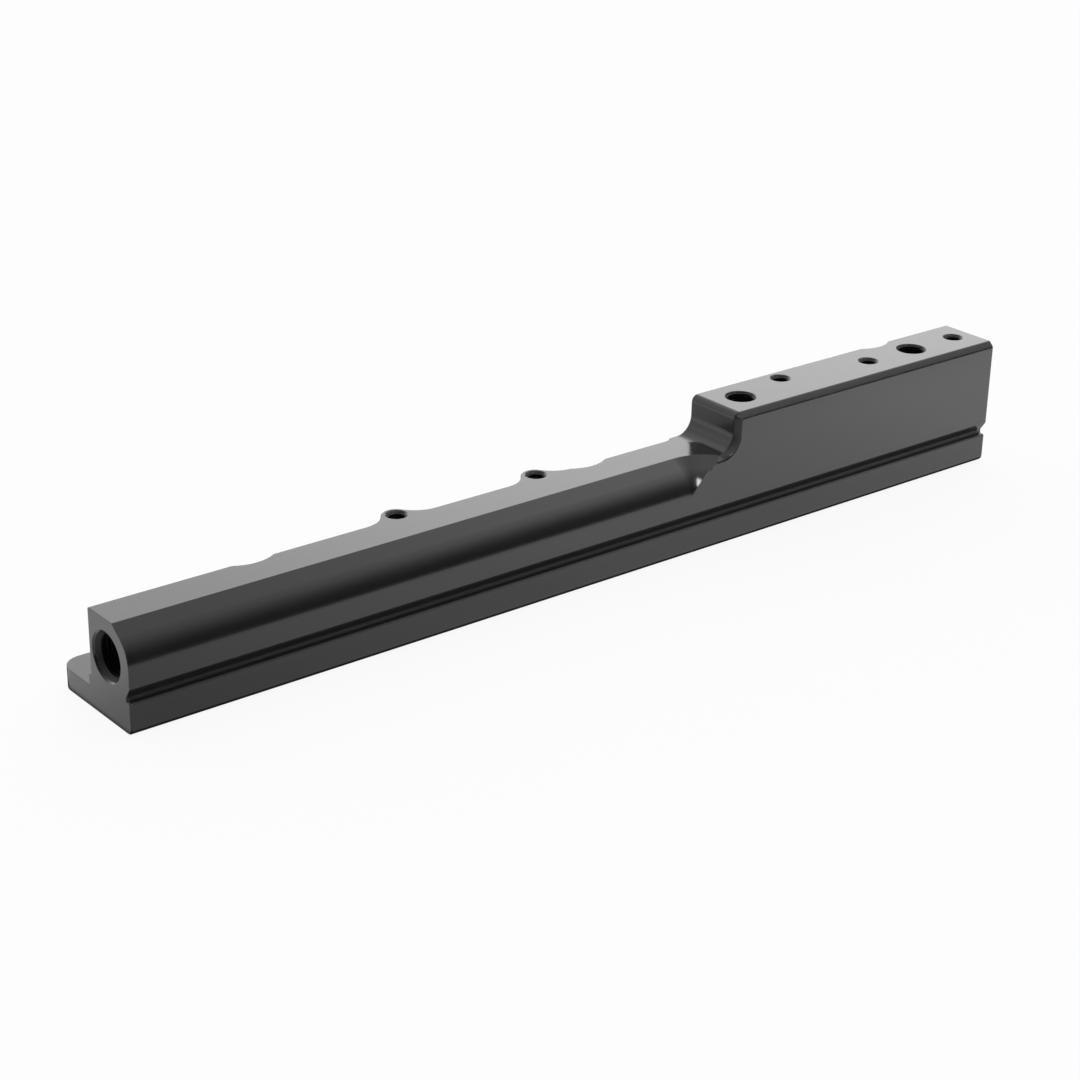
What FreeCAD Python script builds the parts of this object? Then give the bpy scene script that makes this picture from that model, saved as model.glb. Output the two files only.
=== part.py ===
import FreeCAD, Part

import math
import os

import Sketcher

# Four-cylinder fuel rail machined from one aluminium bar. X runs along the rail from its plain
# end to its stepped end, Y from the smooth front face to the bolting foot, Z up from the
# underside. The sketches are drawn from the lower front corner of the plain end, and the body
# is then placed so that the middle of its footprint is the origin.

doc = FreeCAD.newDocument("FuelRail")
sheet = doc.addObject("Spreadsheet::Sheet", "Sizes")

sizes = [
    # overall form
    ("railLength", 342.0),
    ("webHeight", 31.3),
    ("webThickness", 20.95),
    ("rootHeight", 10.4),
    ("rootThickness", 22.3),
    ("bottomEdgeRadius", 2.4),
    ("edgeBreak", 0.4),
    # bolting foot
    ("footDepth", 40.1),
    ("footThickness", 6.95),
    ("footCornerRadius", 6.3),
    # stepped block at one end
    ("blockLength", 120.4),
    ("blockHeight", 44.1),
    ("stepFilletRadius", 6.0),
    ("blockCornerRadius", 2.3),
    ("frontChamfer", 1.7),
    ("chamferSoftening", 1.0),
    ("millSetback", 12.3),
    ("millRadius", 5.0),
    # bevel along the front of the low part
    ("bevelDepth", 7.9),
    ("bevelCornerDepth", 1.0),
    ("bevelCornerHeight", 25.95),
    ("bevelCornerRadius", 10.0),
    ("creaseHeight", 20.6),
    ("creaseRadius", 10.0),
    ("runoutSetback", 19.4),
    ("runoutReach", 8.8),
    # groove along the front face
    ("grooveTop", 14.45),
    ("grooveBottom", 10.05),
    ("grooveDepth", 2.0),
    ("grooveFloorTop", 11.4),
    ("grooveFloorBottom", 10.4),
    ("grooveLipRadius", 0.5),
    # bracket bosses behind the low part
    ("bossStart", 104.9),
    ("bossPitch", 53.2),
    ("bossLine", 23.15),
    ("bossRadius", 4.65),
    ("bossFlareRadius", 10.5),
    # studs through the foot, with wrench reliefs above them
    ("studStart", 52.9),
    ("studPitch", 124.2),
    ("studEndInset", 35.9),
    ("studLine", 31.5),
    ("studHoleDiameter", 8.5),
    ("reliefBite", 2.45),
    # fuel gallery and its end ports
    ("galleryLine", 11.9),
    ("galleryHeight", 19.65),
    ("galleryDiameter", 10.8),
    ("endPortDiameter", 14.3),
    ("endPortDepth", 14.0),
    ("endPortChamfer", 0.65),
    # gauge port and regulator port in the top of the block
    ("gaugePortInset", 12.0),
    ("regulatorInset", 28.6),
    ("topPortDiameter", 9.9),
    ("topPortDepth", 11.0),
    ("topPortChamfer", 0.275),
    ("topPassageDiameter", 8.4),
    # small screw holes
    ("screwDiameter", 6.1),
    ("screwChamfer", 0.49),
    ("screwDepth", 12.0),
    ("regulatorScrewReach", 20.95),
    ("sensorScrewInset", 34.7),
    ("sensorScrewLine", 17.0),
    # injector sockets in the underside
    ("socketStart", 30.2),
    ("socketPitch", 84.0),
    ("socketCount", 4),
    ("socketDiameter", 13.8),
    ("socketDepth", 12.0),
    ("socketChamfer", 1.2),
    ("socketPassageDiameter", 8.0),
]

for row, (name, value) in enumerate(sizes, start=1):
    sheet.set(f"A{row}", name)
    sheet.set(f"B{row}", str(value))
    sheet.setAlias(f"B{row}", name)
doc.recompute()

body = doc.addObject("PartDesign::Body", "RailBody")
body.Label = "rail_body"


def value(expression):
    return float(body.evalExpression(expression))


def originFeature(role):
    return [item for item in body.Origin.OriginFeatures if item.Role == role][0]


def newSketch(name, role, offset=None):
    sketch = body.newObject("Sketcher::SketchObject", name)
    sketch.AttachmentSupport = [(originFeature(role), "")]
    sketch.MapMode = "FlatFace"
    if offset:
        sketch.setExpression("AttachmentOffset.Base.z", offset)
    return sketch


def dimension(sketch, kind, places, expression):
    index = sketch.addConstraint(Sketcher.Constraint(kind, *places, value(expression)))
    sketch.setExpression(f"Constraints[{index}]", expression)


# A point is held on an axis where its coordinate is zero, and by a bound distance elsewhere.
def hold(sketch, geometry, vertex, across, up):
    if across is None:
        sketch.addConstraint(Sketcher.Constraint("PointOnObject", geometry, vertex, -2))
    elif across:
        dimension(sketch, "DistanceX", (-1, 1, geometry, vertex), across)
    if up is None:
        sketch.addConstraint(Sketcher.Constraint("PointOnObject", geometry, vertex, -1))
    elif up:
        dimension(sketch, "DistanceY", (-1, 1, geometry, vertex), up)


def number(expression):
    return value(expression) if expression else 0.0


def line(sketch, start, end):
    return sketch.addGeometry(Part.LineSegment(FreeCAD.Vector(*start, 0), FreeCAD.Vector(*end, 0)))


def arc(sketch, centre, radius, first, last):
    circle = Part.Circle(FreeCAD.Vector(*centre, 0), FreeCAD.Vector(0, 0, 1), radius)
    return sketch.addGeometry(Part.ArcOfCircle(circle, math.radians(first), math.radians(last)))


def join(sketch, kind, first, firstEnd, second, secondEnd):
    sketch.addConstraint(Sketcher.Constraint(kind, first, firstEnd, second, secondEnd))


# Closed outline of straight lines, each corner held at its own place.
def polygon(sketch, corners):
    points = [(number(across), number(up)) for across, up in corners]
    sides = [line(sketch, points[i], points[(i + 1) % len(points)]) for i in range(len(points))]
    for i, (across, up) in enumerate(corners):
        join(sketch, "Coincident", sides[i - 1], 2, sides[i], 1)
        hold(sketch, sides[i], 1, across, up)


def circle(sketch, across, up, diameter):
    centre = FreeCAD.Vector(number(across), number(up), 0)
    ring = sketch.addGeometry(Part.Circle(centre, FreeCAD.Vector(0, 0, 1), value(diameter) / 2))
    hold(sketch, ring, 3, across, up)
    dimension(sketch, "Diameter", (ring,), diameter)


def solidVolume(feature):
    return feature.Shape.Volume


# Each feature has to add or remove material, so a direction that misses the bar is caught.
def settle(feature, before, grows):
    doc.recompute()
    change = solidVolume(feature) - before
    if (change > 0.01) != grows or abs(change) < 0.01:
        raise RuntimeError(f"{feature.Name} changed the volume by {change:.3f}")
    print(f"{feature.Name}: {change:+.1f} mm3")
    return feature


def pad(name, sketch, length, before=0.0, backwards=False):
    feature = body.newObject("PartDesign::Pad", name)
    feature.Profile = sketch
    feature.Reversed = backwards
    feature.setExpression("Length", length)
    return settle(feature, before, True)


def pocket(name, sketch, previous, length=None, backwards=False):
    feature = body.newObject("PartDesign::Pocket", name)
    feature.Profile = sketch
    feature.Reversed = backwards
    if length:
        feature.setExpression("Length", length)
    else:
        feature.Type = "ThroughAll"
    return settle(feature, solidVolume(previous), False)


# Drilled hole with a chamfered mouth, and a drill point or a flat floor.
def hole(name, sketch, previous, diameter, depth, chamfer, pointed=True, backwards=False):
    doc.recompute()
    feature = body.newObject("PartDesign::Hole", name)
    feature.Profile = sketch
    feature.Reversed = backwards
    feature.DepthType = "Dimension"
    feature.setExpression("Diameter", diameter)
    feature.setExpression("Depth", depth)
    feature.DrillPoint = "Angled" if pointed else "Flat"
    feature.HoleCutType = "Countersink"
    feature.HoleCutCustomValues = True
    feature.HoleCutCountersinkAngle = 90
    feature.setExpression("HoleCutDiameter", f"{diameter} + 2 * {chamfer}")
    return settle(feature, solidVolume(previous), False)


# Edges are found by where they lie: the test sees an edge's two end points.
def edgesWhere(feature, test):
    found = []
    for index, edge in enumerate(feature.Shape.Edges, start=1):
        points = [vertex.Point for vertex in edge.Vertexes]
        if len(points) == 2 and test(*points):
            found.append(f"Edge{index}")
    if not found:
        raise RuntimeError(f"no edge of {feature.Name} fits")
    return found


def near(a, b):
    return abs(a - b) < 0.01


def upright(a, b):
    return near(a.x, b.x) and near(a.y, b.y)


def fillet(name, previous, radius, test, grows=False):
    feature = body.newObject("PartDesign::Fillet", name)
    feature.Base = (previous, edgesWhere(previous, test))
    feature.setExpression("Radius", radius)
    return settle(feature, solidVolume(previous), grows)


def chamfer(name, previous, size, test):
    feature = body.newObject("PartDesign::Chamfer", name)
    feature.Base = (previous, edgesWhere(previous, test))
    feature.setExpression("Size", size)
    return settle(feature, solidVolume(previous), False)


railLength = "Sizes.railLength"
webHeight = "Sizes.webHeight"
webThickness = "Sizes.webThickness"
rootThickness = "Sizes.rootThickness"
blockStart = "Sizes.railLength - Sizes.blockLength"
blockHeight = "Sizes.blockHeight"
galleryLine = "Sizes.galleryLine"

# Foot: a flat flange along the whole length, rounded at its two rear corners.
footSketch = newSketch("FootSketch", "XY_Plane")
polygon(footSketch, [
    (None, None),
    (railLength, None),
    (railLength, "Sizes.footDepth"),
    (None, "Sizes.footDepth"),
])
foot = pad("Foot", footSketch, "Sizes.footThickness")
footCorners = fillet(
    "FootCorners", foot, "Sizes.footCornerRadius",
    lambda a, b: upright(a, b) and near(a.y, value("Sizes.footDepth")),
)

# Root: the low step behind the web that the relief cutter leaves standing.
rootSketch = newSketch("RootSketch", "XY_Plane")
polygon(rootSketch, [
    (None, None),
    (railLength, None),
    (railLength, rootThickness),
    (None, rootThickness),
])
root = pad("Root", rootSketch, "Sizes.rootHeight", solidVolume(footCorners))

# Web: its plan carries the two screw bosses with their wide flares on the rear face, and the
# step where the relief cutter stops short of the block.
webSketch = newSketch("WebSketch", "XY_Plane")
length = value(railLength)
thin = value(webThickness)
thick = value(rootThickness)
millEnd = value(f"{blockStart} - Sizes.millSetback")
millRadius = value("Sizes.millRadius")
millRise = math.degrees(math.acos(1 - (thick - thin) / millRadius))
millReach = millRadius * math.sin(math.radians(millRise))
bossRadius = value("Sizes.bossRadius")
bossLine = value("Sizes.bossLine")
flareRadius = value("Sizes.bossFlareRadius")
flareRise = thin + flareRadius - bossLine
flareRun = math.sqrt((bossRadius + flareRadius) ** 2 - flareRise ** 2)
flareAngle = math.degrees(math.atan2(flareRise, flareRun))
touchX = bossRadius * math.cos(math.radians(flareAngle))
touchY = bossLine + bossRadius * math.sin(math.radians(flareAngle))
bossCentres = [("Sizes.bossStart"), ("Sizes.bossStart + Sizes.bossPitch")]
bossX = [value(centre) for centre in bossCentres]

front = line(webSketch, (0, 0), (length, 0))
end = line(webSketch, (length, 0), (length, thick))
thickRear = line(webSketch, (length, thick), (millEnd + millReach, thick))
millArc = arc(webSketch, (millEnd, thin + millRadius), millRadius, 270, 270 + millRise)
thinRears = [line(webSketch, (millEnd, thin), (bossX[1] + flareRun, thin))]
arcs = []
for i in (1, 0):
    rightFlare = arc(
        webSketch, (bossX[i] + flareRun, thin + flareRadius), flareRadius, 180 + flareAngle, 270
    )
    crown = arc(webSketch, (bossX[i], bossLine), bossRadius, flareAngle, 180 - flareAngle)
    leftFlare = arc(
        webSketch, (bossX[i] - flareRun, thin + flareRadius), flareRadius, 270, 360 - flareAngle
    )
    nextX = bossX[0] + flareRun if i else 0
    arcs.append((rightFlare, crown, leftFlare))
    thinRears.append(line(webSketch, (bossX[i] - flareRun, thin), (nextX, thin)))
plain = line(webSketch, (0, thin), (0, 0))

join(webSketch, "Coincident", plain, 2, front, 1)
join(webSketch, "Coincident", front, 2, end, 1)
join(webSketch, "Coincident", end, 2, thickRear, 1)
join(webSketch, "Coincident", thickRear, 2, millArc, 2)
join(webSketch, "Tangent", thinRears[0], 1, millArc, 1)
for i, (rightFlare, crown, leftFlare) in enumerate(arcs):
    join(webSketch, "Tangent", thinRears[i], 2, rightFlare, 2)
    join(webSketch, "Tangent", rightFlare, 1, crown, 1)
    join(webSketch, "Tangent", crown, 2, leftFlare, 2)
    join(webSketch, "Tangent", leftFlare, 1, thinRears[i + 1], 1)
    hold(webSketch, crown, 3, bossCentres[1 - i], "Sizes.bossLine")
    dimension(webSketch, "Radius", (crown,), "Sizes.bossRadius")
    dimension(webSketch, "Radius", (rightFlare,), "Sizes.bossFlareRadius")
    dimension(webSketch, "Radius", (leftFlare,), "Sizes.bossFlareRadius")
join(webSketch, "Coincident", thinRears[2], 2, plain, 1)
hold(webSketch, front, 1, None, None)
hold(webSketch, front, 2, railLength, None)
hold(webSketch, end, 2, railLength, rootThickness)
hold(webSketch, thickRear, 2, "", rootThickness)
hold(webSketch, thinRears[0], 1, f"{blockStart} - Sizes.millSetback", webThickness)
hold(webSketch, plain, 1, None, webThickness)
for rear in thinRears:
    webSketch.addConstraint(Sketcher.Constraint("Horizontal", rear))
dimension(webSketch, "Radius", (millArc,), "Sizes.millRadius")
web = pad("Web", webSketch, webHeight, solidVolume(root))

# Block: the taller end, with a large fillet at its foot and a rounded upper corner.
blockSketch = newSketch("BlockSketch", "XZ_Plane")
polygon(blockSketch, [
    (blockStart, "Sizes.rootHeight"),
    (railLength, "Sizes.rootHeight"),
    (railLength, blockHeight),
    (blockStart, blockHeight),
])
block = pad("Block", blockSketch, rootThickness, solidVolume(web), backwards=True)
stepFillet = fillet(
    "StepFillet", block, "Sizes.stepFilletRadius",
    lambda a, b: near(a.x, b.x) and near(a.x, value(blockStart))
    and near(a.z, value(webHeight)) and near(b.z, a.z),
    grows=True,
)
blockCorner = fillet(
    "BlockCorner", stepFillet, "Sizes.blockCornerRadius",
    lambda a, b: near(a.x, b.x) and near(a.x, value(blockStart))
    and near(a.z, value(blockHeight)) and near(b.z, a.z),
)

# Chamfer along the whole upper front edge, up the step and over the block.
frontChamfer = chamfer(
    "FrontChamfer", blockCorner, "Sizes.frontChamfer",
    lambda a, b: near(a.y, 0) and near(b.y, 0)
    and near(a.z, value(blockHeight)) and near(b.z, a.z),
)

# Both edges of that chamfer are rubbed soft.
softChamfer = fillet(
    "SoftChamfer", frontChamfer, "Sizes.chamferSoftening",
    lambda a, b: near(a.y, b.y) and near(a.z, b.z) and not near(a.x, b.x)
    and max(a.x, b.x) > value(blockStart) and (
        (near(a.y, 0) and near(a.z, value("Sizes.blockHeight - Sizes.frontChamfer")))
        or (near(a.y, value("Sizes.frontChamfer")) and near(a.z, value(blockHeight)))),
)

# Bevel: one form-cutter profile, drawn from the cutter's own upright axis in front of the bar.
# It runs straight from the plain end, then turns about that axis and leaves the front face.
bevelSketch = newSketch("BevelSketch", "YZ_Plane", f"{blockStart} - Sizes.runoutSetback")
bevelSketch.setExpression("AttachmentOffset.Base.x", "-Sizes.runoutReach")
reach = value("Sizes.runoutReach")
clear = 1.0
top = value(webHeight)
bevelTop = (reach + value("Sizes.bevelDepth"), top)
corner = (reach + value("Sizes.bevelCornerDepth"), value("Sizes.bevelCornerHeight"))
crease = (reach, value("Sizes.creaseHeight"))
cornerRadius = value("Sizes.bevelCornerRadius")
creaseRadius = value("Sizes.creaseRadius")
upperSlope = math.atan2(bevelTop[1] - corner[1], bevelTop[0] - corner[0])
lowerSlope = math.atan2(corner[1] - crease[1], corner[0] - crease[0])


def along(point, slope, distance):
    return (point[0] + math.cos(slope) * distance, point[1] + math.sin(slope) * distance)


cornerTangent = cornerRadius * math.tan((lowerSlope - upperSlope) / 2)
creaseTangent = creaseRadius * math.tan((math.pi / 2 - lowerSlope) / 2)
overTop = along(bevelTop, upperSlope, clear / math.sin(upperSlope))
cornerUpper = along(corner, upperSlope, cornerTangent)
cornerLower = along(corner, lowerSlope, -cornerTangent)
creaseUpper = along(crease, lowerSlope, creaseTangent)
creaseLower = (reach, crease[1] - creaseTangent)
cornerCentre = along(cornerUpper, upperSlope - math.pi / 2, cornerRadius)
creaseCentre = (reach + creaseRadius, creaseLower[1])
outside = reach - clear

upperFace = line(bevelSketch, overTop, cornerUpper)
cornerArc = arc(
    bevelSketch, cornerCentre, cornerRadius,
    90 + math.degrees(upperSlope), 90 + math.degrees(lowerSlope),
)
lowerFace = line(bevelSketch, cornerLower, creaseUpper)
creaseArc = arc(
    bevelSketch, creaseCentre, creaseRadius, 90 + math.degrees(lowerSlope), 180
)
floor = line(bevelSketch, creaseLower, (outside, creaseLower[1]))
side = line(bevelSketch, (outside, creaseLower[1]), (outside, overTop[1]))
lid = line(bevelSketch, (outside, overTop[1]), overTop)
join(bevelSketch, "Tangent", upperFace, 2, cornerArc, 1)
join(bevelSketch, "Tangent", cornerArc, 2, lowerFace, 1)
join(bevelSketch, "Tangent", lowerFace, 2, creaseArc, 1)
join(bevelSketch, "Coincident", creaseArc, 2, floor, 1)
join(bevelSketch, "Coincident", floor, 2, side, 1)
join(bevelSketch, "Coincident", side, 2, lid, 1)
join(bevelSketch, "Coincident", lid, 2, upperFace, 1)
bevelSketch.addConstraint(Sketcher.Constraint("Horizontal", floor))
bevelSketch.addConstraint(Sketcher.Constraint("Vertical", side))
bevelSketch.addConstraint(Sketcher.Constraint("Horizontal", lid))
dimension(bevelSketch, "Radius", (cornerArc,), "Sizes.bevelCornerRadius")
dimension(bevelSketch, "Radius", (creaseArc,), "Sizes.creaseRadius")
marks = []
for across, up, expressions in (
    (*bevelTop, ("Sizes.runoutReach + Sizes.bevelDepth", webHeight)),
    (*corner, ("Sizes.runoutReach + Sizes.bevelCornerDepth", "Sizes.bevelCornerHeight")),
    (*crease, ("Sizes.runoutReach", "Sizes.creaseHeight")),
):
    mark = bevelSketch.addGeometry(Part.Point(FreeCAD.Vector(across, up, 0)), True)
    hold(bevelSketch, mark, 1, *expressions)
    marks.append(mark)
for mark, face in ((0, upperFace), (1, upperFace), (1, lowerFace), (2, lowerFace)):
    bevelSketch.addConstraint(Sketcher.Constraint("PointOnObject", marks[mark], 1, face))
hold(bevelSketch, creaseArc, 2, "Sizes.runoutReach", "")
bevelSketch.addConstraint(Sketcher.Constraint("DistanceX", side, 1, creaseArc, 2, clear))
bevelSketch.addConstraint(Sketcher.Constraint("DistanceY", marks[0], 1, upperFace, 1, clear))
bevel = pocket("Bevel", bevelSketch, softChamfer)

runout = body.newObject("PartDesign::Groove", "BevelRunout")
runout.Profile = bevelSketch
runout.ReferenceAxis = (bevelSketch, ["V_Axis"])
runout.Angle = 90
runout.Reversed = True
settle(runout, solidVolume(bevel), False)

# Groove along the front face, with a long upper flank, a narrow upright floor and a short lower
# ledge.
grooveSketch = newSketch("GrooveSketch", "YZ_Plane")
polygon(grooveSketch, [
    (None, "Sizes.grooveTop"),
    ("Sizes.grooveDepth", "Sizes.grooveFloorTop"),
    ("Sizes.grooveDepth", "Sizes.grooveFloorBottom"),
    (None, "Sizes.grooveBottom"),
])
groove = pocket("FrontGroove", grooveSketch, runout, backwards=True)
grooveLip = fillet(
    "GrooveLip", groove, "Sizes.grooveLipRadius",
    lambda a, b: near(a.y, 0) and near(b.y, 0)
    and near(a.z, value("Sizes.grooveBottom")) and near(b.z, a.z),
)
bottomEdge = fillet(
    "BottomEdge", grooveLip, "Sizes.bottomEdgeRadius",
    lambda a, b: near(a.y, 0) and near(b.y, 0) and near(a.z, 0) and near(b.z, 0),
)

# Sharp edges are broken round the underside and along the rear of the web, its bosses and the
# block.
endBreaks = chamfer(
    "EndBreaks", bottomEdge, "Sizes.edgeBreak",
    lambda a, b: near(a.z, 0) and near(b.z, 0) and near(a.x, b.x)
    and (near(a.x, 0) or near(a.x, value(railLength))),
)
rearBreaks = chamfer(
    "RearBreaks", endBreaks, "Sizes.edgeBreak",
    lambda a, b: min(a.y, b.y) > value(webThickness) - 0.01
    and ((near(a.z, value(webHeight)) and near(b.z, a.z))
         or (near(a.z, value(blockHeight)) and near(b.z, a.z))),
)

# Stud holes through the foot. Above each one a vertical cutter bites the same depth into the
# rear face that stands there, so that a nut and wrench clear the bar.
studs = [
    "Sizes.studStart",
    "Sizes.studStart + Sizes.studPitch",
    "Sizes.railLength - Sizes.studEndInset",
]
studLine = "Sizes.studLine"
studFaces = [webThickness, webThickness, rootThickness]
reliefSketch = newSketch("ReliefSketch", "XY_Plane", "Sizes.footThickness")
for stud, face in zip(studs, studFaces):
    circle(reliefSketch, stud, studLine, f"2 * ({studLine} - {face} + Sizes.reliefBite)")
reliefs = pocket("StudReliefs", reliefSketch, rearBreaks, backwards=True)
studSketch = newSketch("StudSketch", "XY_Plane")
for stud in studs:
    circle(studSketch, stud, studLine, "Sizes.studHoleDiameter")
studHoles = pocket("StudHoles", studSketch, reliefs, backwards=True)

# Fuel gallery from end to end, with a threaded port and chamfered mouth at each end.
galleryHeight = "Sizes.galleryHeight"
gallerySketch = newSketch("GallerySketch", "YZ_Plane")
circle(gallerySketch, galleryLine, galleryHeight, "Sizes.galleryDiameter")
gallery = pocket("Gallery", gallerySketch, studHoles, backwards=True)
endPort = ("Sizes.endPortDiameter", "Sizes.endPortDepth", "Sizes.endPortChamfer")
plainPortSketch = newSketch("PlainEndPortSketch", "YZ_Plane")
circle(plainPortSketch, galleryLine, galleryHeight, endPort[0])
plainPort = hole("PlainEndPort", plainPortSketch, gallery, *endPort, backwards=True)
blockPortSketch = newSketch("BlockEndPortSketch", "YZ_Plane", railLength)
circle(blockPortSketch, galleryLine, galleryHeight, endPort[0])
blockPort = hole("BlockEndPort", blockPortSketch, plainPort, *endPort)

# Gauge and regulator ports: threaded from the top of the block, then a passage to the gallery.
gaugePort = f"{blockStart} + Sizes.gaugePortInset"
regulatorPort = "Sizes.railLength - Sizes.regulatorInset"
topPortSketch = newSketch("TopPortSketch", "XY_Plane", blockHeight)
passageSketch = newSketch("TopPassageSketch", "XY_Plane", blockHeight)
for port in (gaugePort, regulatorPort):
    circle(topPortSketch, port, galleryLine, "Sizes.topPortDiameter")
    circle(passageSketch, port, galleryLine, "Sizes.topPassageDiameter")
topPorts = hole(
    "TopPorts", topPortSketch, blockPort,
    "Sizes.topPortDiameter", "Sizes.topPortDepth", "Sizes.topPortChamfer",
)
topPassages = pocket(
    "TopPassages", passageSketch, topPorts, "Sizes.blockHeight - Sizes.galleryHeight"
)

# Blind screw holes: a pair about the regulator port, one for a sensor clip, one in each boss.
blockScrewSketch = newSketch("BlockScrewSketch", "XY_Plane", blockHeight)
screwDiameter = "Sizes.screwDiameter"
for across, up in (
    (f"{regulatorPort} - Sizes.regulatorScrewReach", galleryLine),
    (f"{regulatorPort} + Sizes.regulatorScrewReach", galleryLine),
    (f"{blockStart} + Sizes.sensorScrewInset", "Sizes.sensorScrewLine"),
):
    circle(blockScrewSketch, across, up, screwDiameter)
blockScrews = hole(
    "BlockScrews", blockScrewSketch, topPassages,
    screwDiameter, "Sizes.screwDepth", "Sizes.screwChamfer",
)
bossScrewSketch = newSketch("BossScrewSketch", "XY_Plane", webHeight)
for centre in bossCentres:
    circle(bossScrewSketch, centre, "Sizes.bossLine", screwDiameter)
bossScrews = hole(
    "BossScrews", bossScrewSketch, blockScrews,
    screwDiameter, "Sizes.screwDepth", "Sizes.screwChamfer",
)

# Injector sockets in the underside, each with a lead-in chamfer and a passage to the gallery.
socketSketch = newSketch("SocketSketch", "XY_Plane")
circle(socketSketch, "Sizes.socketStart", galleryLine, "Sizes.socketDiameter")
socket = hole(
    "InjectorSocket", socketSketch, bossScrews,
    "Sizes.socketDiameter", "Sizes.socketDepth", "Sizes.socketChamfer",
    pointed=False, backwards=True,
)
feedSketch = newSketch("SocketPassageSketch", "XY_Plane")
circle(feedSketch, "Sizes.socketStart", galleryLine, "Sizes.socketPassageDiameter")
feed = pocket("SocketPassage", feedSketch, socket, galleryHeight, backwards=True)
sockets = body.newObject("PartDesign::LinearPattern", "InjectorSockets")
sockets.Originals = [socket, feed]
sockets.Direction = (originFeature("X_Axis"), [""])
sockets.setExpression("Occurrences", "Sizes.socketCount")
sockets.setExpression("Length", "Sizes.socketPitch * (Sizes.socketCount - 1)")
body.Tip = sockets
settle(sockets, solidVolume(feed), False)

# The origin is the middle of the footprint, at the underside.
body.setExpression("Placement.Base.x", "-Sizes.railLength / 2")
body.setExpression("Placement.Base.y", "-Sizes.footDepth / 2")
doc.recompute()

for item in doc.Objects:
    if {"Invalid", "Error"} & set(item.State):
        raise RuntimeError(f"{item.Name} is {item.State}")
for part in doc.findObjects("PartDesign::Body"):
    if part.Shape.isNull() or not part.Shape.isValid() or len(part.Shape.Solids) != 1:
        raise RuntimeError(f"{part.Label} is not one valid solid")
    print(f"{part.Label}: {part.Shape.Volume:.0f} mm3, {part.Shape.BoundBox}")

os.makedirs("parts", exist_ok=True)
for part in doc.findObjects("PartDesign::Body"):
    part.Shape.exportStep(os.path.join("parts", part.Label + ".step"))
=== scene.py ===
import math

import bpy
from mathutils import Matrix, Vector


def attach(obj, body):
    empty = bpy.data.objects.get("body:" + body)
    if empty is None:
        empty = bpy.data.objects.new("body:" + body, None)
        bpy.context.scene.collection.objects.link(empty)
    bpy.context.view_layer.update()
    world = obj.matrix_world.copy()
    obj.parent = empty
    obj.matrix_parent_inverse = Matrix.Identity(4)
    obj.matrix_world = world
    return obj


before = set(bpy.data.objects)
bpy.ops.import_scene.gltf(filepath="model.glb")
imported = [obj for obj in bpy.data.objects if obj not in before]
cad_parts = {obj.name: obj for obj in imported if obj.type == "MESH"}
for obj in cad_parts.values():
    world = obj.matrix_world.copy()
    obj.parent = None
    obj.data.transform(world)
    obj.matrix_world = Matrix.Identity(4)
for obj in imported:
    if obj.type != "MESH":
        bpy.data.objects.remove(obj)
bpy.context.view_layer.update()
print("rail loaded")

mm = 0.001
half = 0.171           # the origin is the middle of the rail's footprint
line = -8.15 * mm      # the fuel gallery's line across the rail
gallery = 19.65 * mm   # and its height
blockTop = 44.1 * mm
lowTop = 31.3 * mm


class Wire:
    # an output socket that can be used in arithmetic
    def __init__(self, paint, socket):
        self.paint = paint
        self.socket = socket

    def sum(self, operation, first, second):
        return self.paint.node("ShaderNodeMath", {"operation": operation}, {0: first, 1: second})

    def __add__(self, other):
        return self.sum("ADD", self, other)

    def __radd__(self, other):
        return self.sum("ADD", other, self)

    def __sub__(self, other):
        return self.sum("SUBTRACT", self, other)

    def __rsub__(self, other):
        return self.sum("SUBTRACT", other, self)

    def __mul__(self, other):
        return self.sum("MULTIPLY", self, other)

    def __rmul__(self, other):
        return self.sum("MULTIPLY", other, self)


class Paint:
    # builds one node tree
    def __init__(self, tree):
        self.tree = tree
        self.tree.nodes.clear()

    def node(self, kind, settings=None, inputs=None, output=0):
        made = self.tree.nodes.new(kind)
        for key, setting in (settings or {}).items():
            if key == "ramp":
                elements = made.color_ramp.elements
                while len(elements) < len(setting):
                    elements.new(0.5)
                for element, (place, tone) in zip(elements, setting):
                    element.position = place
                    element.color = (tone, tone, tone, 1)
            else:
                setattr(made, key, setting)
        for key, value in (inputs or {}).items():
            if isinstance(value, Wire):
                self.tree.links.new(value.socket, made.inputs[key])
            else:
                made.inputs[key].default_value = value
        return Wire(self, made.outputs[output]) if made.outputs else None

    def axis(self, place, name):
        return self.node("ShaderNodeSeparateXYZ", {}, {0: place}, output=name)

    def noise(self, place, size, detail=2.0):
        return self.node("ShaderNodeTexNoise", {},
                         {"Vector": place, "Scale": size, "Detail": detail})

    def smooth(self, value, low, high):
        # 0 at low, 1 at high, which may also be the smaller of the two
        return self.node("ShaderNodeMapRange", {"interpolation_type": "SMOOTHSTEP"},
                         {"Value": value, "From Min": low, "From Max": high})

    def ramp(self, tones, place):
        return self.node("ShaderNodeValToRGB", {"ramp": tones}, {"Fac": place})

    def surface(self, colour, roughness, ior, normal=None):
        inputs = {"Base Color": colour, "Roughness": roughness, "IOR": ior, "Metallic": 0.0}
        if normal:
            inputs["Normal"] = normal
        shaded = self.node("ShaderNodeBsdfPrincipled", {}, inputs)
        self.node("ShaderNodeOutputMaterial", {}, {"Surface": shaded})


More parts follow.
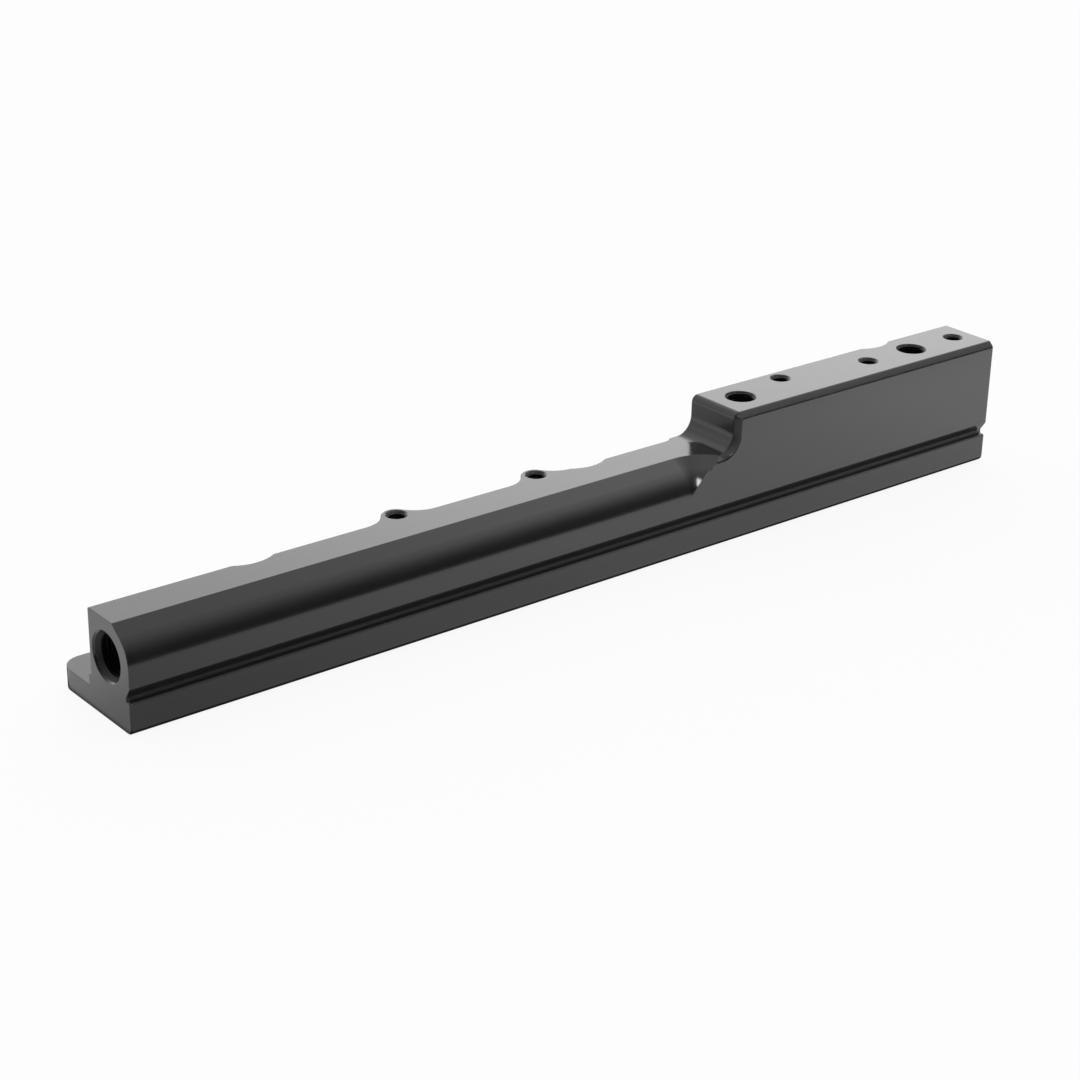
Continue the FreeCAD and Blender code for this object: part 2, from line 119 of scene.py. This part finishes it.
anodised = {
    "colour": (0.018, 0.018, 0.0188),
    "roughness": 0.19,
    "ior": 1.7,
    "grainSize": 1400.0,
    "grainDepth": 0.00001,
    "grainStrength": 0.25,
    "grainShare": 0.6,        # the blast grain's share of the relief, the streaks have the rest
    "streakSize": (30.0, 900.0, 900.0),
    "cloudSize": 45.0,
    # how far grain, streaks and clouds move the roughness
    "grainRough": 0.05, "streakRough": 0.06, "cloudRough": 0.03,
    # and the colour
    "grainTone": 0.2, "cloudTone": 0.25,
    "edge": 0.0003,           # every edge is tumbled a little round
    "grooveEdge": 0.0008,     # and the cutter's corners in the groove are rounder
    "grooveHeights": (0.0096, 0.0101, 0.0118, 0.0124),
    "grooveFace": (-0.0175, -0.0179),
    "cutRoughness": 0.34,     # the block's cut front corner is left a little coarser
    "cutHeight": (0.0305, 0.0315),
    "cutBack": (-0.0180, -0.0184),
    "cutFront": (-0.02003, -0.01995),
}


def anodisedBlack(name):
    # satin black anodising over milled aluminium: fine blast grain, long faint cutter streaks
    material = bpy.data.materials.new(name)
    material.use_nodes = True
    p = Paint(material.node_tree)
    a = anodised
    place = p.node("ShaderNodeTexCoord", output="Object")
    height = p.axis(place, "Z")
    depth = p.axis(place, "Y")
    stretched = p.node("ShaderNodeMapping", {}, {"Vector": place, "Scale": a["streakSize"]})
    grain = p.noise(place, a["grainSize"], 3.0)
    streak = p.noise(stretched, 1.0)
    cloud = p.noise(place, a["cloudSize"])
    cut = (p.smooth(height, *a["cutHeight"]) * p.smooth(depth, *a["cutBack"])
           * p.smooth(depth, *a["cutFront"]))
    roughness = (a["roughness"] + (grain - 0.5) * a["grainRough"]
                 + (streak - 0.5) * a["streakRough"] + (cloud - 0.5) * a["cloudRough"]
                 + cut * a["cutRoughness"])
    tone = 1.0 + (cloud - 0.5) * a["cloudTone"] + (grain - 0.5) * a["grainTone"]
    colour = p.node("ShaderNodeVectorMath", {"operation": "SCALE"},
                    {0: a["colour"], "Scale": tone})
    low, floorLow, floorHigh, high = a["grooveHeights"]
    groove = (p.smooth(height, low, floorLow) * p.smooth(height, high, floorHigh)
              * p.smooth(depth, *a["grooveFace"]))
    tumbled = p.node("ShaderNodeBevel", {"samples": 6}, {"Radius": a["edge"]})
    milled = p.node("ShaderNodeBevel", {"samples": 6}, {"Radius": a["grooveEdge"]})
    # inputs 4 and 5 and output 1 are the node's vector sockets
    worn = p.node("ShaderNodeMix", {"data_type": "VECTOR"},
                  {"Factor": groove, 4: tumbled, 5: milled}, output=1)
    relief = p.node("ShaderNodeBump", {}, {
        "Normal": worn, "Strength": a["grainStrength"], "Distance": a["grainDepth"],
        "Height": grain * a["grainShare"] + streak * (1 - a["grainShare"])})
    p.surface(colour, roughness, a["ior"], relief)
    return material


dull = {
    "grainSize": 2200.0, "grainRough": 0.15,
    "darkest": 0.8, "grainTone": 0.4,
    # painted shade: the threads are darker than the rail's anodising, standing in for the shade
    # deep in the holes
    "thread": {"colour": (0.008, 0.008, 0.0085), "roughness": 0.42, "ior": 1.45},
    # painted light: the lead-in cones are lighter than the rail's anodising, a lit band round
    # each hole's mouth
    "cone": {"colour": (0.026, 0.026, 0.027), "roughness": 0.5, "ior": 1.55},
}


def dullHoleBlackPaintedLight(name, finish):
    # tapped flanks stay dull and a little torn; the colour passed in is painted light: darker as
    # painted shade in the threads, lighter as a painted light band on the lead-in cones
    material = bpy.data.materials.new(name)
    material.use_nodes = True
    p = Paint(material.node_tree)
    grain = p.noise(p.node("ShaderNodeTexCoord", output="Object"), dull["grainSize"])
    colour = p.node("ShaderNodeVectorMath", {"operation": "SCALE"}, {
        0: finish["colour"], "Scale": dull["darkest"] + dull["grainTone"] * grain})
    p.surface(colour, finish["roughness"] + (grain - 0.5) * dull["grainRough"], finish["ior"])
    return material


railMaterial = anodisedBlack("satinBlackAnodising")
# a shaded and a lit copy of the black: painted shade in the threads, painted light on the
# lead-in cones
shadedThreadMaterial = dullHoleBlackPaintedLight("shadedBlackThread", dull["thread"])
litConeMaterial = dullHoleBlackPaintedLight("litLeadInBlack", dull["cone"])
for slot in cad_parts["rail_body"].material_slots:
    slot.material = railMaterial
print("rail finished")


# every thread and its lead-in, measured from the hole's mouth
threads = {
    "screw": {"radius": 3.05 * mm, "pitch": 1.0 * mm, "top": 0.55 * mm, "depth": 11.3 * mm,
              "coneDrop": 0.45 * mm, "coneTop": 0.45 * mm, "coneEnd": 0.95 * mm},
    "port": {"radius": 4.95 * mm, "pitch": 0.941 * mm, "top": 0.35 * mm, "depth": 10.6 * mm,
             "coneDrop": 0.5 * mm, "coneTop": 0.45 * mm, "coneEnd": 0.95 * mm},
    "end": {"radius": 7.15 * mm, "pitch": 1.411 * mm, "top": 2.0 * mm, "depth": 13.2 * mm,
            "coneDrop": 0.9 * mm, "coneTop": 0.5 * mm, "coneEnd": 2.0 * mm},
}
# the tooth's section as shares of the pitch: the crest is narrow, the root wide
tooth = {"plane": 0.62, "height": 0.54, "crestHalf": 0.11, "rootHalf": 0.42}
sink = 0.03 * mm       # how far an added piece goes into the hole's wall
smoothAngle = math.radians(35)


def threadRidge(name, size):
    # one trapezoid tooth, wound down the hole from just under its mouth
    radius, pitch = size["radius"], size["pitch"]
    tall = tooth["plane"] * pitch
    middle = -size["top"] - tall / 2
    bpy.ops.object.select_all(action="DESELECT")
    bpy.ops.mesh.primitive_plane_add(size=tall, location=(radius - tall / 2 + sink, 0, middle),
                                     rotation=(math.pi / 2, 0, 0))
    ridge = bpy.context.object
    ridge.name = name
    bpy.ops.object.transform_apply(location=True, rotation=True, scale=True)
    for corner in ridge.data.vertices:
        side = 1 if corner.co.z > middle else -1
        if corner.co.x < radius - tall / 2:
            corner.co.x = radius - tooth["height"] * pitch
            corner.co.z = middle + side * tooth["crestHalf"] * pitch
        else:
            corner.co.z = middle + side * tooth["rootHalf"] * pitch
    winding = ridge.modifiers.new("winding", "SCREW")
    winding.angle = 2 * math.pi
    winding.screw_offset = -pitch
    winding.iterations = int((size["depth"] - size["top"] - pitch) / pitch)
    winding.steps = 48
    winding.render_steps = 48
    winding.use_merge_vertices = True
    bpy.ops.object.modifier_apply(modifier=winding.name)
    bpy.ops.object.mode_set(mode="EDIT")
    bpy.ops.mesh.select_mode(type="EDGE")
    bpy.ops.mesh.select_all(action="SELECT")
    bpy.ops.mesh.remove_doubles(threshold=1e-7)
    bpy.ops.mesh.select_all(action="DESELECT")
    bpy.ops.mesh.select_non_manifold(extend=False, use_wire=True, use_multi_face=False,
                                     use_non_contiguous=False, use_verts=False)
    bpy.ops.mesh.fill()
    outward()
    return ridge


def leadIn(name, size):
    # the plain cone that leads into a thread, a thin tapered ring
    radius, top, end = size["radius"], size["coneTop"], size["coneEnd"]
    bpy.ops.object.select_all(action="DESELECT")
    bpy.ops.mesh.primitive_cone_add(
        vertices=96, radius1=radius - size["coneDrop"], radius2=radius - sink,
        depth=end - top, end_fill_type="NOTHING", location=(0, 0, -(top + end) / 2))
    cone = bpy.context.object
    cone.name = name
    bpy.ops.object.transform_apply(location=True, rotation=True, scale=True)
    wall = cone.modifiers.new("wall", "SOLIDIFY")
    wall.thickness = 0.05 * mm
    wall.offset = 1
    bpy.ops.object.modifier_apply(modifier=wall.name)
    bpy.ops.object.mode_set(mode="EDIT")
    outward()
    return cone


def outward():
    # ends an edit: normals out, and only true corners sharp
    bpy.ops.mesh.select_all(action="SELECT")
    bpy.ops.mesh.normals_make_consistent(inside=False)
    bpy.ops.object.mode_set(mode="OBJECT")
    bpy.ops.object.shade_smooth_by_angle(angle=smoothAngle)


def placeCopy(name, source, spot, turn, finish):
    # a copy with its own mesh, moved to its hole and left with its object at the origin
    bpy.ops.object.select_all(action="DESELECT")
    source.select_set(True)
    bpy.context.view_layer.objects.active = source
    bpy.ops.object.duplicate()
    copy = bpy.context.object
    copy.name = name
    copy.rotation_euler = turn
    copy.location = spot
    bpy.ops.object.transform_apply(location=True, rotation=True, scale=True)
    copy.data.materials.clear()
    copy.data.materials.append(finish)
    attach(copy, "root")


ridges = {kind: threadRidge(kind + "Ridge", size) for kind, size in threads.items()}
cones = {kind: leadIn(kind + "Cone", size) for kind, size in threads.items()}
upright = (0, 0, 0)
screws = ((121.45, -8.15, blockTop), (163.35, -8.15, blockTop), (85.3, -3.05, blockTop),
          (-66.1, 3.1, lowTop), (-12.9, 3.1, lowTop))
holes = [(f"screw{index}", "screw", (x * mm, y * mm, top), upright)
         for index, (x, y, top) in enumerate(screws, start=1)]
holes += [
    ("gaugePort", "port", (62.6 * mm, line, blockTop), upright),
    ("regulatorPort", "port", (142.4 * mm, line, blockTop), upright),
    ("plainEnd", "end", (-half, line, gallery), (0, -math.pi / 2, 0)),
    ("blockEnd", "end", (half, line, gallery), (0, math.pi / 2, 0)),
]
for name, kind, spot, turn in holes:
    placeCopy(name + "Thread", ridges[kind], spot, turn, shadedThreadMaterial)
    placeCopy(name + "Cone", cones[kind], spot, turn, litConeMaterial)
bpy.ops.object.select_all(action="DESELECT")
for source in (*ridges.values(), *cones.values()):
    source.select_set(True)
bpy.ops.object.delete()
print("threads cut")


view = {
    "azimuth": -39.3405, "elevation": 23.7291, "roll": 1.2254, "lens": 80.937,
    "place": (-0.45389, -0.53772, 0.31594),
}


def makeCamera():
    turn, rise, roll = (math.radians(view[k]) for k in ("azimuth", "elevation", "roll"))
    back = Vector((math.sin(turn) * math.cos(rise), -math.cos(turn) * math.cos(rise),
                   math.sin(rise)))
    level = Vector((0, 0, 1)).cross(back).normalized()
    up = back.cross(level)
    right = math.cos(roll) * level + math.sin(roll) * up
    tilted = -math.sin(roll) * level + math.cos(roll) * up
    lens = bpy.data.cameras.new("photoCamera")
    lens.lens = view["lens"]
    lens.sensor_width = 36
    lens.clip_start = 0.01
    camera = bpy.data.objects.new("photoCamera", lens)
    bpy.context.collection.objects.link(camera)
    pose = Matrix((right, tilted, back)).transposed().to_4x4()
    pose.translation = Vector(view["place"])
    camera.matrix_world = pose
    bpy.context.scene.camera = camera


makeCamera()
print("camera set")


# all pairs below are places where a change begins and ends
ground = {
    "size": 6.0,
    "white": 0.88,            # how much of its colour is plain white, the rest takes light
    "tone": 1.04,
    "plainTone": 0.8,
    # painted light and shade on the floor, which only the rail's gloss sees: in front, along the
    # rail from left to right
    "front": ((0.12, 0.61), (0.32, 0.81), (0.52, 0.98), (0.72, 1.03), (0.82, 1.10),
              (0.92, 1.21), (1.0, 1.3)),
    "frontStart": -0.2,
    "frontLength": 0.4,
    # painted shade: the floor's glow is darker near the rail's front
    "closeShade": 0.8,             # as a share of that, near the rail
    "closeShadeBand": (-0.034, -0.046),
    "gain": 0.06,             # and what it gains further out
    "gainBand": (-0.06, -0.085),
    # painted contact shadow where the floor meets the rail's foot
    "contactShadowBand": (-0.0202, -0.0213),
    "beside": 0.63,           # beyond the rail's plain end
    "besideBand": (0.0002, 0.002),
    "corner": 0.4,            # and what that gains towards the rear
    "cornerBand": (-0.012, 0.030),
    "shade": 0.15,            # close behind the rail
    "behind": 0.75,           # and further back
    "behindBand": (0.025, 0.1),
    "turnBand": (-0.0185, -0.0200),
    # the painted glow fades out far in front
    "dim": 0.02,              # far in front
    "dimBand": (-0.15, -0.105),
}


def whiteFloor():
    g = ground
    bpy.ops.object.select_all(action="DESELECT")
    bpy.ops.mesh.primitive_plane_add(size=g["size"], location=(0, 0, 0))
    floor = bpy.context.object
    floor.name = "floor"
    material = bpy.data.materials.new("whiteFloor")
    material.use_nodes = True
    p = Paint(material.node_tree)
    camera = p.node("ShaderNodeLightPath", output="Is Camera Ray")
    glossy = p.node("ShaderNodeLightPath", output="Is Glossy Ray")
    through = p.node("ShaderNodeLightPath", output="Is Transmission Ray")
    place = p.node("ShaderNodeTexCoord", output="Object")
    x = p.axis(place, "X")
    y = p.axis(place, "Y")
    front = p.ramp(g["front"], (x - g["frontStart"]) * (1 / g["frontLength"]))
    front = front * (g["closeShade"] + (1 - g["closeShade"]) * p.smooth(y, *g["closeShadeBand"]))
    front = (front * (1 + g["gain"] * p.smooth(y, *g["gainBand"]))
             * p.smooth(y, *g["contactShadowBand"]))
    endwise = p.node("ShaderNodeMath", {"operation": "ABSOLUTE"}, {0: x})
    outer = p.smooth(endwise, *(half + reach for reach in g["besideBand"]))
    beside = g["beside"] + g["corner"] * p.smooth(y, *g["cornerBand"])
    shaded = g["shade"] + (g["behind"] - g["shade"]) * p.smooth(y, *g["behindBand"])
    rear = outer * beside + (1 - outer) * shaded
    across = rear + p.smooth(y, *g["turnBand"]) * (front - rear)
    # painted light and shade: glossy rays see the floor glow with these painted tones, camera
    # rays see it plain white
    paintedFloorLight = g["dim"] + p.smooth(y, *g["dimBand"]) * (across - g["dim"])
    strength = camera * g["tone"] + (1 - camera) * paintedFloorLight
    plain = p.node("ShaderNodeBsdfDiffuse", {}, {"Color": (*[g["plainTone"]] * 3, 1)})
    white = p.node("ShaderNodeEmission", {}, {"Color": (1, 1, 1, 1), "Strength": strength})
    factor = (camera + through) * g["white"] + glossy
    mixed = p.node("ShaderNodeMixShader", {}, {0: factor, 1: plain, 2: white})
    p.node("ShaderNodeOutputMaterial", {}, {"Surface": mixed})
    floor.data.materials.append(material)


screens = {
    # the white screens round the rail, from left to right, as a share of their full light
    "tones": ((0.125, 0.30), (0.20, 0.33), (0.28, 0.52), (0.365, 0.70), (0.455, 0.80),
              (0.715, 0.80), (0.735, 0.835), (0.755, 0.90), (0.775, 0.96), (0.795, 1.0),
              (0.85, 1.02)),
    "back": 2.21,             # full light of the screen behind the rail
    "backHigh": 1.05,         # and above its upper edge
    "backEdge": (0.65, 0.45),
    "front": 0.06,            # in front, low down
    "overhead": 1.28,         # and what that gains overhead
    "riseStart": 0.05,
    "riseTop": 0.95,
    "frontTones": ((0.72, 0.088), (0.75, 0.11), (0.775, 0.133), (0.80, 0.16), (0.83, 0.21),
                   (0.86, 0.24)),
    "frontFull": 10,          # a ramp holds no more than 1, so its tones are tenths
    "turnBand": (0.0, 0.5),
    "lamp": 15.0,             # one small lamp high in front, with soft edges
    "lampLeft": (-0.11, -0.07),
    "lampRight": (0.08, 0.04),
    "lampLow": (0.22, 0.30),
    "lampHigh": (0.64, 0.55),
    "lampFront": (0.0, -0.1),
}


def studioWorld():
    world = bpy.data.worlds.new("studioWorld")
    bpy.context.scene.world = world
    world.use_nodes = True
    p = Paint(world.node_tree)
    s = screens
    camera = p.node("ShaderNodeLightPath", output="Is Camera Ray")
    glossy = p.node("ShaderNodeLightPath", output="Is Glossy Ray")
    heading = p.node("ShaderNodeTexCoord", output="Generated")
    x, y, z = (p.axis(heading, name) for name in "XYZ")
    across = (x + 1) * 0.5
    rise = p.node("ShaderNodeMapRange", {}, {
        "Value": z, "From Min": s["riseStart"], "From Max": 1.0, "To Max": s["riseTop"]})
    lean = s["frontFull"] * p.ramp(s["frontTones"], across)
    front = (s["front"] + s["overhead"] * rise * rise) * lean
    back = s["backHigh"] + (s["back"] - s["backHigh"]) * p.smooth(z, *s["backEdge"])
    screen = front + p.smooth(y, *s["turnBand"]) * (back - front)
    lamp = (p.smooth(x, *s["lampLeft"]) * p.smooth(x, *s["lampRight"])
            * p.smooth(z, *s["lampLow"]) * p.smooth(z, *s["lampHigh"])
            * p.smooth(y, *s["lampFront"]))
    strength = (camera + (1 - camera) * p.ramp(s["tones"], across) * screen
                + glossy * lamp * s["lamp"])
    sky = p.node("ShaderNodeBackground", {}, {"Color": (1, 1, 1, 1), "Strength": strength})
    p.node("ShaderNodeOutputWorld", {}, {"Surface": sky})


whiteFloor()
studioWorld()
bpy.context.scene.view_settings.view_transform = "Standard"
print("studio lit")
